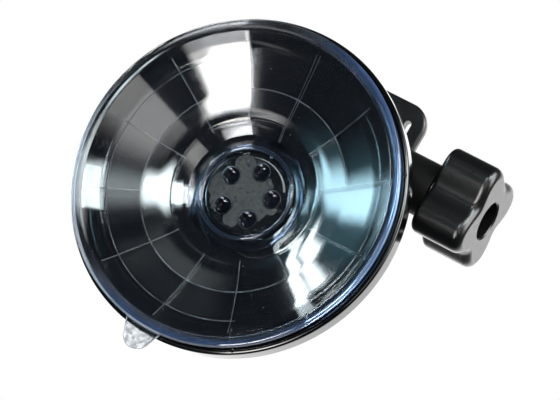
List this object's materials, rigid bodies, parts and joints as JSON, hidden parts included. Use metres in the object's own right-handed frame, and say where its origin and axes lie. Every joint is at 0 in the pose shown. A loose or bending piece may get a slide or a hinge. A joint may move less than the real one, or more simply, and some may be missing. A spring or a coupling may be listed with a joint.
{
  "type": "suction base",
  "caption": "Clear vacuum suction cup in a domed black housing with a cam lock lever, a tilting slotted stalk plate and a lobed clamp knob on a long spacer.",
  "frame": {"origin": "centre of the bounding box at the plane of the cup's mouth, on which the base rests", "axes": "+X along the hinge axis towards the knob, +Y towards the cup's pull tab, +Z along the cup's axis away from its mouth"},
  "size_m": [0.1244, 0.1162, 0.0429],
  "materials": {
    "clear_pvc": "clear bluish flexible PVC, glossy",
    "insert_black": "satin moulded black",
    "housing_black": "glossy moulded black",
    "lever_black": "satin moulded black",
    "plate_black": "satin black",
    "sleeve_black": "fine matte black",
    "knob_black": "satin-gloss moulded black",
    "nylon": "natural nylon",
    "steel": "zinc-plated steel"
  },
  "bodies": {
    "base": {"suction_cup": "clear_pvc", "housing": "housing_black", "stem_bush": "nylon", "wear_plate": "steel", "hinge_yoke": "plate_black", "yoke_screw_1": "steel", "yoke_screw_2": "steel", "yoke_screw_3": "steel", "yoke_screw_4": "steel", "friction_disc_left": "nylon", "friction_disc_right": "nylon", "hinge_bolt": "steel", "bolt_washer": "steel", "spacer_sleeve": "sleeve_black"},
    "stem": {"cup_insert": "insert_black", "lever_pin": "steel", "pin_clip_left": "steel", "pin_clip_right": "steel"},
    "lever": {"cam_lever": "lever_black"},
    "plate": {"stalk_plate": "plate_black"},
    "washer": {"knob_washer": "steel"},
    "knob": {"clamp_knob": "knob_black", "knob_nut": "steel"}
  },
  "joints": [
    {"name": "stem_slide", "type": "slide", "parent": "base", "child": "stem", "axis": [0, 0, -1], "range_m": [0, 0.0025], "deforming": ["suction_cup"]},
    {"name": "lever_lift", "type": "hinge", "parent": "stem", "child": "lever", "pos_m": [-0.0072, -0.0031, 0.0294], "axis": [1, 0, 0], "range_deg": [0, 90]},
    {"name": "plate_tilt", "type": "hinge", "parent": "base", "child": "plate", "pos_m": [-0.0072, -0.033, 0.028], "axis": [1, 0, 0], "range_deg": [-8, 50]},
    {"name": "knob_travel", "type": "slide", "parent": "base", "child": "washer", "axis": [1, 0, 0], "range_m": [0, 0.002]},
    {"name": "knob_turn", "type": "hinge", "parent": "washer", "child": "knob", "pos_m": [0.0533, -0.033, 0.028], "axis": [1, 0, 0], "range_deg": [0, 720]}
  ],
  "couplings": [
    {"joint": "stem_slide", "follows": "lever_lift", "m_per_rad": 0.0015915},
    {"joint": "knob_travel", "follows": "knob_turn", "m_per_rad": 0.00015915}
  ]
}
